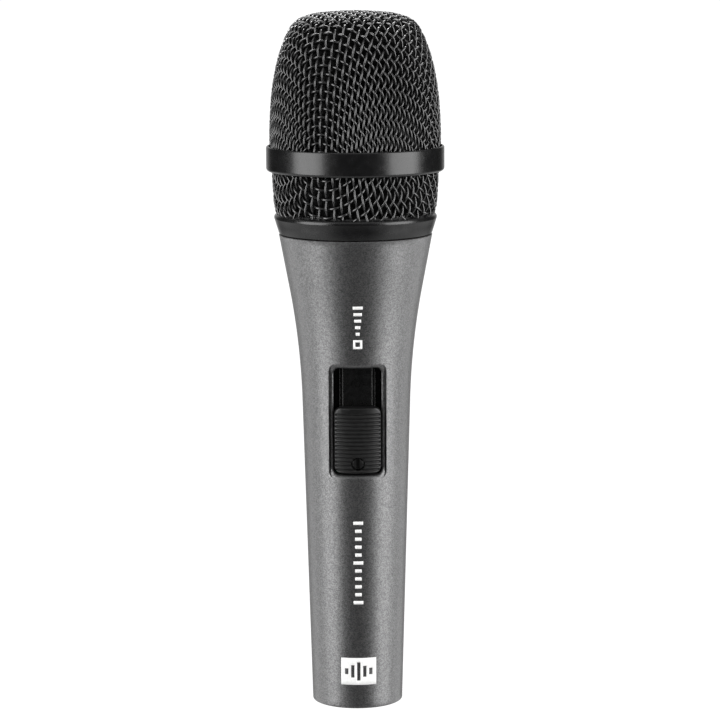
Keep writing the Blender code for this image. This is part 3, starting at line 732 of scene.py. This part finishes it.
def make_marks(finish):
    """Generic white graphics: a hollow square and a rising level scale, a tick scale, and a badge."""
    marks = Marks()
    square = [-0.0012, -0.0006, 0.0006, 0.0012]
    marks.plate(square, [SQUARE_MARK_Z + step for step in square], {(1, 1)})
    for i in range(5):
        marks.bar(0, LEVEL_MARK_Z + 0.00175 * i, 0.0010 + 0.0004 * i, 0.0008)
    for i in range(11):
        marks.bar(0, TICK_MARK_Z + 0.00216 * i, 0.0026 if i % 5 == 0 else 0.0017, 0.0009)
    bars = [0.0016, 0.0034, 0.0050, 0.0030, 0.0018]
    half, tall = BADGE_HALF
    levels = sorted({s * h / 2 for h in bars for s in (1, -1)} | {-tall, tall})
    bar, pitch = 0.00045, 0.0016
    xs = [-half] + [c + s for c in (pitch * k for k in range(-2, 3)) for s in (-bar, bar)] + [half]
    missing = {(2 * b + 1, k) for b, h in enumerate(bars) for k in range(len(levels) - 1)
               if abs(levels[k] + levels[k + 1]) / 2 < h / 2}
    marks.plate(xs, [BADGE_Z + level for level in levels], missing)
    made = piece("printed_marks", marks.verts, marks.faces, finish["ink"], None, None, outward=False)
    solidify = made.modifiers.new("thickness", 'SOLIDIFY')
    solidify.thickness = INK_THICKNESS
    solidify.offset = 0.0
    settle(made, "handle")


# ---------------- switch

def slider_half_width(z, low, high):
    """Half width of the slider at a height, narrower at its rounded corners."""
    into = min(z - low, high - z)
    if into >= SLIDER_CORNER:
        return SLIDER_SIZE[0] / 2
    return SLIDER_SIZE[0] / 2 - SLIDER_CORNER + math.sqrt(SLIDER_CORNER ** 2 - (SLIDER_CORNER - into) ** 2)


def edge_roll(distance, radius):
    """Drop of a rounded edge at a distance from it."""
    short = max(radius - distance, 0.0)
    return radius - math.sqrt(max(radius ** 2 - short ** 2, 0.0))


def edge_distance(x, z, low, high):
    """Distance from a point on the slider's face to its outline."""
    qx = abs(x) - SLIDER_SIZE[0] / 2 + SLIDER_CORNER
    qz = abs(z - (low + high) / 2) - (high - low) / 2 + SLIDER_CORNER
    return SLIDER_CORNER - math.hypot(max(qx, 0), max(qz, 0)) - min(max(qx, qz), 0)


def rib(z, high):
    """Depth of the finger grooves at a height."""
    along = (high - FIRST_RIB - z) / RIB_PITCH
    if not -0.5 <= along <= RIB_COUNT - 0.5:
        return 0.0
    return RIB_DEPTH * (0.5 + 0.5 * math.cos(2 * math.pi * along)) ** 1.3


def make_slider(finish):
    """Ribbed thumb slider with rolled edges, hollowed behind as the model's is."""
    low, high = SLIDER_BOTTOM, SLIDER_BOTTOM + SLIDER_SIZE[1]
    radius = handle_radius(WINDOW_Z)
    crown = radius + SLIDER_PROUD
    shares = [0.5 * (t + math.sin(math.pi * t / 2)) for t in np.linspace(-1, 1, 45)]
    rows = np.linspace(low, high, 241)
    verts = []
    for z in rows:
        half = slider_half_width(z, low, high)
        for share in shares:
            x = half * share
            inside = edge_distance(x, z, low, high)
            ribbed = rib(z, high) * min(max(inside - 0.0001, 0) / 0.0003, 1.0)
            sunk = ribbed + edge_roll(inside, 0.0004)
            verts.append((x, radius - math.sqrt(crown ** 2 - x ** 2) + sunk, z))
    wide, tall = len(shares), len(rows)
    faces = [(r * wide + c, r * wide + c + 1, (r + 1) * wide + c + 1, (r + 1) * wide + c)
             for r in range(tall - 1) for c in range(wide - 1)]
    rim = (list(range(wide)) + [r * wide + wide - 1 for r in range(1, tall)]
           + [(tall - 1) * wide + c for c in range(wide - 2, -1, -1)]
           + [r * wide for r in range(tall - 2, 0, -1)])
    start = len(verts)
    verts += [(verts[i][0], SLIDER_BACK, verts[i][2]) for i in rim]
    back = tuple(range(start, start + len(rim)))
    faces += band_faces(rim, back) + [back]
    slider = piece("ribbed_slider", verts, faces, finish["slider"], None, None)

    for side in (-1, 1):
        left, right = sorted((side * LEG[0], side * LEG[1]))
        leg = block((left, SLIDER_BACK - 0.0008, low + 0.0009), (right, TRAY_GROOVE - GAP, high - 0.0009))
        cut(slider, *leg, 'UNION')
    recess, bore, pocket = LOCK_RADIUS + 0.00003, 0.0012, 0.0021
    stepped = [(0, 0.001), (recess + 0.0001, 0.001), (recess + 0.0001, -0.0003), (recess, -0.00045),
               (recess, -0.00155), (bore, -0.00155), (bore, -0.00215), (pocket, -0.00215),
               (pocket, -0.004), (0, -0.004)]
    verts, faces = lathe(stepped, 64, closed=False)
    cut(slider, placed(Matrix.Translation((0, 0, LOCK_Z)) @ TOWARDS_FRONT, verts), faces)
    cut(slider, *block((-0.0032, 0.0013, 0.0074), (0.0032, 0.004, 0.0103)))
    cut(slider, *block((-0.0022, 0.0013, 0.0112), (0.0022, 0.004, 0.0172)))
    seat(slider, SWITCH, 42, "slider", "slider_cap")


def make_lock_screw(finish):
    """Slotted lock screw with a chamfered head."""
    head = LOCK_RADIUS - 0.0001
    outline = [(0, -0.00045), (head - 0.00045, -0.00045), (head - 0.0002, -0.0005), (head - 0.00006, -0.0006),
               (head, -0.00075), (head, -0.00125), (0.0009, -0.00125), (0.0009, -0.00215), (0, -0.00215)]
    verts, faces = lathe(outline, 64, closed=False)
    screw = piece("slotted_lock_screw", placed(TOWARDS_FRONT, verts), faces, finish["screw"], None, None)
    cut(screw, *block((-0.0005, 0, -0.003), (0.0005, 0.00095, 0.003)))
    seat(screw, SWITCH @ Matrix.Translation((0, 0, LOCK_Z)), 30, "lock", "lock_screw")


def make_tray(finish):
    """Moulded tray behind the slider: a raised middle with soft edges, a step and two channels."""
    ledge, ledge_depth = TRAY_LEDGE
    side = TRAY_SIZE[0] / 2
    soft = 0.0002
    right = arc((TRAY_PLATEAU - soft, TRAY_FACE + soft), soft, -90, 0, 4)
    right += [(TRAY_PLATEAU, ledge_depth - 0.0001), (TRAY_PLATEAU + 0.0001, ledge_depth)]
    right += arc((ledge - soft, ledge_depth + soft), soft, -90, 0, 4)
    right += [(ledge, TRAY_GROOVE), (side, TRAY_GROOVE), (side, TRAY_BACK)]
    across = right + [(-x, y) for x, y in reversed(right)]
    low = (LAND_SIZE[1] - TRAY_SIZE[1]) / 2
    count = len(across)
    verts = [(x, y, z) for z in (low, low + TRAY_SIZE[1]) for x, y in across]
    bottom, top = tuple(range(count)), tuple(range(count, 2 * count))
    faces = band_faces(bottom, top) + [bottom, top]
    tray = piece("moulded_tray", verts, faces, finish["tray"], None, None)
    for z in BOARD_SCREW_Z:
        hole, cap = lathe([(0, -0.0057), (0.001, -0.0057), (0.001, -0.009), (0, -0.009)], 24, closed=False)
        cut(tray, placed(Matrix.Translation((0, 0, z)) @ TOWARDS_FRONT, hole), cap)
    seat(tray, SWITCH, 30, "handle", "switch_tray")
    make_tray_symbol(finish)


def make_tray_symbol(finish):
    """Moulded position symbol on the tray: a ring with a short bar on each side."""
    proud, middle = 0.00018, 0.0251
    face, foot = TRAY_FACE - proud, TRAY_FACE + 0.0001
    outline = [(0.0013, -face), (0.0013, -foot), (0.00092, -foot), (0.00092, -face)]
    verts, faces = lathe(outline, 48)
    verts = placed(Matrix.Translation((0, 0, middle)) @ TOWARDS_FRONT, verts)
    for x in (-0.00255, 0.00255):
        start = len(verts)
        more, sides = block((x - 0.0008, face, middle - 0.0002), (x + 0.0008, foot, middle + 0.0002))
        verts += more
        faces += [tuple(start + i for i in side) for side in sides]
    piece("tray_symbol", placed(SWITCH, verts), faces, finish["tray"], "handle", "black_plastic")


# ---------------- head

def make_collar(finish):
    """Black base ring with a rolled lip that screws down on the handle's neck."""
    rim = HANDLE_TOP + GAP
    outline = [(SHOULDER_RADIUS - 0.0001, rim), (SHOULDER_RADIUS, rim + 0.0002), (0.0209, 0.1287)]
    outline += arc((LIP_RADIUS - BEAD_RADIUS, BEAD_Z), BEAD_RADIUS, -30, 70, 12)
    outline += [(0.0206, COLLAR_LIP - 0.0001), (0.0200, COLLAR_LIP - 0.0003),
                (SEAT_RADIUS, COLLAR_LIP - 0.0003), (SEAT_RADIUS, SEAT_TOP), (COLLAR_BORE, SEAT_TOP),
                (COLLAR_BORE, rim + 0.0004), (COLLAR_BORE + 0.0004, rim)]
    piece("collar_ring", *lathe(outline), finish["satin_black"], "collar", "satin_black", ["base_collar"])


def make_band(finish):
    """Centre band with rolled edges and the inner web that parts the two meshes."""
    low, high = WEB
    bottom, top = BAND
    outline = [(WEB_BORE, low), (SLEEVE_BORE_IN_BAND, low), (SLEEVE_BORE_IN_BAND, bottom)]
    outline += arc((BAND_RADIUS - BAND_FILLET, bottom + BAND_FILLET), BAND_FILLET, -80, 0, 10)
    outline += arc((BAND_RADIUS - 0.00045, top - 0.0005), 0.00045, 0, 90, 8)
    outline += [(MESH_BORE_IN_BAND, top - 0.00005), (MESH_BORE_IN_BAND, high), (WEB_BORE, high)]
    piece("head_band", *lathe(outline), finish["satin_black"], "basket", "satin_black", ["centre_band"])


def drawn(harmonics, angle):
    """Odd harmonics, which say how far a drawn mesh has sheared at an angle from its grain."""
    return sum(h * np.sin((2 * k + 1) * angle) for k, h in enumerate(harmonics))


class Drawn:
    """Woven mesh drawn over a turned surface.

    A point is found by its distance from the pole and its angle from the grain, written as flat
    x and y. Two functions of it, u and v, say which wire of each family passes there.
    """

    def __init__(self, outline, grain, start=0.0):
        steps = np.array(outline)
        runs = np.hypot(*np.diff(steps, axis=0).T)
        self.run = start + np.concatenate([[0], np.cumsum(runs)])
        self.radius, self.height = steps[:, 0], steps[:, 1]
        self.grain, self.start = math.radians(grain), start
        self.side = 1.0 if self.height[-1] < self.height[0] else -1.0

    def around(self, run):
        """Radius at a distance from the pole. Before the start it falls evenly to nothing."""
        inner = self.radius[0] * run / self.start if self.start else run
        return np.where(run < self.start, inner, np.interp(run, self.run, self.radius))

    def wires(self, x, y):
        run, angle = np.hypot(x, y), np.arctan2(y, x)
        radius = self.around(run)
        spare = run - radius
        u = radius * np.cos(angle) + spare * drawn(DRAW, math.pi / 2 - angle)
        v = radius * np.sin(angle) + spare * drawn(DRAW, angle)
        return u, v

    def solve(self, x, y, u, v, rounds=5):
        """Move the points x, y to where the two wire numbers are u and v, by Newton's method."""
        step = 1e-7
        for _ in range(rounds):
            u0, v0 = self.wires(x, y)
            ux, vx = self.wires(x + step, y)
            uy, vy = self.wires(x, y + step)
            a, b, c, d = (ux - u0) / step, (uy - u0) / step, (vx - v0) / step, (vy - v0) / step
            det = a * d - b * c
            du, dv = u - u0, v - v0
            x = x + (d * du - b * dv) / det
            y = y + (a * dv - c * du) / det
        return x, y

    def place(self, x, y, lift):
        """Points in space and the surface's normals there."""
        run = np.hypot(x, y)
        angle = np.arctan2(y, x) + self.grain
        radius, height = np.interp(run, self.run, self.radius), np.interp(run, self.run, self.height)
        ahead, back = run + 0.0002, run - 0.0002
        dr = np.interp(ahead, self.run, self.radius) - np.interp(back, self.run, self.radius)
        dz = np.interp(ahead, self.run, self.height) - np.interp(back, self.run, self.height)
        length = np.hypot(dr, dz)
        nr, nz = -dz / length * self.side, dr / length * self.side
        normal = np.stack([nr * np.sin(angle), -nr * np.cos(angle), nz], axis=-1)
        point = np.stack([radius * np.sin(angle), -radius * np.cos(angle), height], axis=-1)
        return point + normal * lift[..., None], normal


def crimp(phase):
    """Height of a woven wire from -1 to 1, flatter over and under the wires that it crosses."""
    return np.tanh(1.5 * np.cos(math.pi * phase)) / math.tanh(1.5)


def trace_wires(surface, pitch):
    """Every wire of one family as (x, y, across, number), one entry for each unbroken run."""
    first, last = surface.run[0], surface.run[-1]
    numbers = np.arange(-int(last / pitch) - 1, int(last / pitch) + 2)
    level = numbers * pitch
    x, y = surface.solve(np.zeros(len(level)), level.astype(float), np.zeros(len(level)), level, 12)
    steps = int(last / pitch + 1) * WIRE_STEPS
    xs, ys = [x], [y]
    for k in range(1, steps + 1):
        ahead = 2 * xs[-1] - xs[-2] if k > 1 else x + pitch / WIRE_STEPS
        beside = 2 * ys[-1] - ys[-2] if k > 1 else y
        x, y = surface.solve(ahead, beside, np.full(len(level), k * pitch / WIRE_STEPS), level)
        xs.append(x)
        ys.append(y)
    xs, ys = np.array(xs), np.array(ys)
    xs = np.concatenate([-xs[:0:-1], xs])
    ys = np.concatenate([ys[:0:-1], ys])
    across = np.arange(-steps, steps + 1) / WIRE_STEPS
    found = []
    for column, number in enumerate(numbers):
        found += unbroken_runs(xs[:, column], ys[:, column], across, number, first, last)
    return found


def unbroken_runs(x, y, across, number, first, last):
    """The stretches of one wire that lie between two distances from the pole, cut at those."""
    run = np.hypot(x, y)
    inside = (run >= first) & (run <= last)
    edges = np.flatnonzero(np.diff(np.concatenate([[0], inside.astype(int), [0]])))
    found = []
    for a, b in zip(edges[::2], edges[1::2]):
        keys = list(range(a, b))
        parts = [np.array([x[keys], y[keys], across[keys]]).T]
        for inner, outer, at_end in ((a, a - 1, False), (b - 1, b, True)):
            if 0 <= outer < len(x):
                limit = last if run[outer] > last else first
                share = (limit - run[inner]) / (run[outer] - run[inner])
                end = [[q[inner] + (q[outer] - q[inner]) * share for q in (x, y, across)]]
                if 0.05 < share:
                    parts = parts + [end] if at_end else [end] + parts
        points = np.concatenate(parts)
        if len(points) > 2:
            found.append((points, number))
    return found


def tubes(lines):
    """Vertices and faces of round wires along lines of (points, normals)."""
    angles = np.arange(WIRE_SIDES) * 2 * math.pi / WIRE_SIDES
    verts, faces, start = [], [], 0
    for points, normals in lines:
        along = np.gradient(points, axis=0)
        along /= np.linalg.norm(along, axis=1)[:, None]
        beside = np.cross(along, normals)
        beside /= np.linalg.norm(beside, axis=1)[:, None]
        up = np.cross(beside, along)
        rings = (points[:, None] + WIRE * (np.cos(angles)[None, :, None] * beside[:, None]
                                           + np.sin(angles)[None, :, None] * up[:, None]))
        verts.append(rings.reshape(-1, 3))
        count = len(points)
        a = np.arange(count - 1)[:, None] * WIRE_SIDES + np.arange(WIRE_SIDES)[None]
        b = np.arange(count - 1)[:, None] * WIRE_SIDES + (np.arange(WIRE_SIDES) + 1) % WIRE_SIDES
        quads = np.stack([a, a + WIRE_SIDES, b + WIRE_SIDES, b], axis=-1).reshape(-1, 4) + start
        faces += quads.tolist()
        faces.append([start + i for i in range(WIRE_SIDES)])
        faces.append([start + (count - 1) * WIRE_SIDES + i for i in reversed(range(WIRE_SIDES))])
        start += count * WIRE_SIDES
    return np.concatenate(verts), faces


def make_weave(name, surface, pitch, finish, node):
    """Both wire families of a woven mesh. The second is the first, mirrored about the diagonal."""
    runs = trace_wires(surface, pitch)
    for family, stands_for in (("upright", [node]), ("level", [])):
        lines = []
        for points, number in runs:
            x, y, across = points.T
            lift = crimp(across + number) * WIRE * CRIMP_LIFT
            if family == "level":
                x, y, lift = y, x, -lift
            lines.append(surface.place(x, y, lift))
        piece(f"{name}_{family}_wires", *tubes(lines), finish["wire"], "basket", "grille_wire",
              stands_for, crease=60, outward=False)


def make_grilles(finish):
    """The drawn dome above the band and the drawn sleeve below it."""
    outer = list(reversed(smooth_curve(DOME, 24)))
    middle = inset(outer[::-1], 2 * WIRE)[::-1]
    middle[0] = (0.0, outer[0][1] - 2 * WIRE)
    make_weave("dome", Drawn(middle, DOME_GRAIN), DOME_PITCH, finish, "upper_grille")

    side = [(0.0210, COLLAR_LIP - 0.0005), (0.0216, 0.1350), (0.0220, 0.1420), (0.0222, WEB[0] - GAP)]
    side = smooth_curve(side, 24)
    middle = [(r - 2 * WIRE, z) for r, z in side]
    start = middle[0][0] + 0.0035
    make_weave("sleeve", Drawn(middle, SLEEVE_GRAIN, start), SLEEVE_PITCH, finish, "lower_grille")


def make_foam(finish):
    """Foam behind both meshes. The sleeve's has a skirt that hides the collar's seat."""
    skin = smooth_curve(DOME, 10)
    outer = inset(skin, MESH_THICKNESS + GAP)
    inner = inset(skin, MESH_THICKNESS + GAP + FOAM_THICKNESS)
    outer[-1], inner[-1] = (0, outer[-1][1]), (0, inner[-1][1])
    keep = [p for p in inner if p[1] > outer[0][1] - 0.0001]
    dome = piece("dome_foam", *lathe(list(reversed(outer)) + keep, 128, closed=False), finish["foam"],
                 "basket", "foam", ["foam_liner"])
    near, far, low, high = SLEEVE_FOAM
    skirt, hem = FOAM_SKIRT
    ring = [(far, high), (far, hem), (skirt, hem), (skirt, low), (near, low), (near, high)]
    sleeve = piece("sleeve_foam", *lathe(ring, 128), finish["foam"], "basket", "foam", ["lower_foam"])


# ---------------- carried-over nodes

NODE_FINISH = {
    "connector_cup": "socket", "connector_insulator": "tray", "pin_1": "pin", "pin_2": "pin", "pin_3": "pin",
    "earth_washer": "steel", "connector_set_screw": "steel", "switch_board": "board",
    "tray_screw_lower": "steel", "tray_screw_upper": "steel", "reed_switch": "glass",
    "transformer_core": "lamination", "transformer_winding": "winding",
    "slider_magnet": "magnet", "detent_spring": "steel", "lock_cam": "steel",
    "capsule_housing": "capsule", "resonator_plate": "capsule", "front_cloth": "cloth",
    "rear_chamber": "capsule", "yoke": "yoke", "magnet": "magnet", "pole_piece": "yoke",
    "diaphragm": "film", "voice_coil": "winding", "shock_mount": "rubber", "carrier_ring": "capsule",
    "terminal_board": "board", "terminal_left": "brass", "terminal_right": "brass",
    "capsule_lead_left": "black", "capsule_lead_right": "red",
    "output_lead_left": "blue", "output_lead_right": "white",
    "switch_lead_left": "white", "switch_lead_right": "blue",
}


def finish_nodes(finish):
    """Give every carried-over node its detailed material."""
    for name, look in NODE_FINISH.items():
        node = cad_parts[name]
        node.data.materials.clear()
        node.data.materials.append(finish[look])


def make_capsule_leads(finish):
    """Copies of the leads between the handle and the floating capsule, each in its own finish, that take the
    place of the model's lead nodes.
    """
    for side, look in (("left", "black"), ("right", "red")):
        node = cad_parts[f"capsule_lead_{side}"]
        lead = bpy.data.objects.new(f"capsule_wire_{side}", node.data.copy())
        lead.data.materials.clear()
        lead.data.materials.append(finish[look])
        bpy.context.collection.objects.link(lead)
        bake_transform(lead)
        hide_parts(node.name)


# ---------------- stage

def make_camera():
    """Camera a little above the microphone and to the switch's left, level with its grip."""
    camera = bpy.data.cameras.new("camera")
    camera.lens = 152.0
    camera.sensor_width = 36.0
    camera.clip_start = 0.05
    made = bpy.data.objects.new("camera", camera)
    heading, pitch, roll = math.radians(-1.57), math.radians(8.787), math.radians(-0.25)
    turn = (Matrix.Rotation(heading, 4, 'Z') @ Matrix.Rotation(math.pi / 2 - pitch, 4, 'X')
            @ Matrix.Rotation(roll, 4, 'Z'))
    made.matrix_world = Matrix.Translation((-0.0209, -0.7997, 0.216)) @ turn
    bpy.context.collection.objects.link(made)
    bpy.context.scene.camera = made


def softbox(name, azimuth, elevation, size, radiance, only=()):
    """A large soft area light aimed at the microphone's middle, which may light only some pieces."""
    light = bpy.data.lights.new(name, 'AREA')
    light.shape = 'RECTANGLE'
    light.size, light.size_y = size
    light.energy = radiance * math.pi * size[0] * size[1]
    made = bpy.data.objects.new(name, light)
    a, e = math.radians(azimuth), math.radians(elevation)
    back = Vector((math.sin(a) * math.cos(e), -math.cos(a) * math.cos(e), math.sin(e)))
    made.location = Vector((0, 0, 0.1)) + back * LIGHT_DISTANCE
    made.rotation_mode = 'QUATERNION'
    made.rotation_quaternion = (-back).to_track_quat('-Z', 'Y')
    made.visible_camera = False
    bpy.context.collection.objects.link(made)
    if only:
        lit = bpy.data.collections.new(f"{name}_lights")
        for piece_name in only:
            lit.objects.link(bpy.data.objects[piece_name])
        made.light_linking.receiver_collection = lit


def stage_material(name, strength, albedo):
    made = bpy.data.materials.new(name)
    made.use_nodes = True
    surface = made.node_tree.nodes["Principled BSDF"]
    surface.inputs["Base Color"].default_value = (albedo, albedo, albedo, 1)
    surface.inputs["Roughness"].default_value = 1.0
    surface.inputs["Specular IOR Level"].default_value = 0.0
    surface.inputs["Emission Color"].default_value = (1, 1, 1, 1)
    surface.inputs["Emission Strength"].default_value = strength
    return made


def make_stage():
    """Pale floor and a white backdrop all round, which light nothing."""
    bpy.ops.mesh.primitive_circle_add(vertices=96, radius=STAGE_RADIUS, fill_type='NGON')
    floor = bpy.context.object
    floor.name = "floor"
    floor.data.materials.append(stage_material("pale_floor", 1.02, 0.10))
    bpy.ops.mesh.primitive_uv_sphere_add(segments=64, ring_count=32, radius=STAGE_RADIUS)
    backdrop = bpy.context.object
    backdrop.name = "backdrop"
    backdrop.data.materials.append(stage_material("white_backdrop", 1.04, 0.0))
    for made in (floor, backdrop):
        made.visible_diffuse = made.visible_glossy = False
        made.visible_transmission = made.visible_shadow = False


WIRES = [f"{mesh}_{family}_wires" for mesh in ("dome", "sleeve") for family in ("upright", "level")]
HANDLE = ["handle_body"]
LIGHTS = [      # name, azimuth, elevation, (width, height), radiance, the only pieces it lights
    ("left_softbox", -65.5, 7, (1.88, 3.1), 5.2),
    ("right_softbox", 64.5, 7, (1.98, 3.1), 5.2),
    ("left_wire_light", -38, 14, (0.7, 1.8), 4.0, WIRES),
    ("right_wire_light", 36, 10, (0.7, 1.8), 5.5, WIRES),
    ("overhead_wire_light", 180, 60, (1.8, 0.9), 17.0, WIRES),
    ("left_rim", -118, 0, (2.0, 3.1), 1.6, HANDLE),
    ("right_rim", 116, 0, (2.0, 3.1), 1.6, HANDLE),
]


def make_world():
    """A dark room with a pale floor, bright above and behind."""
    world = bpy.data.worlds.new("studio")
    bpy.context.scene.world = world
    world.use_nodes = True
    tree = world.node_tree
    place = tree.nodes.new("ShaderNodeTexCoord")
    split = tree.nodes.new("ShaderNodeSeparateXYZ")
    feed(tree, place.outputs["Generated"], split.inputs[0])

    def fade(axis, *ends):
        return mapped(tree, split.outputs[axis], *ends, 'SMOOTHSTEP')

    behind = fade("Y", 0.8, 0.99, 0.025, 0.7)
    floor = math_node(tree, 'MULTIPLY', fade("Z", -0.5, -0.2, 0.8, 0.0), fade("Y", -0.75, -0.35, 0.0, 1.0))
    above = fade("Z", 0.45, 0.9, 0.0, 0.8)
    bright = math_node(tree, 'MAXIMUM', math_node(tree, 'MAXIMUM', behind, floor), above)
    surface = tree.nodes["Background"]
    feed(tree, (1, 1, 1, 1), surface.inputs["Color"])
    feed(tree, bright, surface.inputs["Strength"])


# ---------------- assembly

def main():
    make_camera()
    finish = make_finishes()
    make_handle(finish)
    make_marks(finish)
    make_tray(finish)
    make_slider(finish)
    make_lock_screw(finish)
    make_collar(finish)
    make_band(finish)
    make_grilles(finish)
    make_foam(finish)
    finish_nodes(finish)
    make_capsule_leads(finish)
    make_stage()
    for light in LIGHTS:
        softbox(*light)
    make_world()
    bpy.context.scene.view_settings.view_transform = 'Standard'


main()
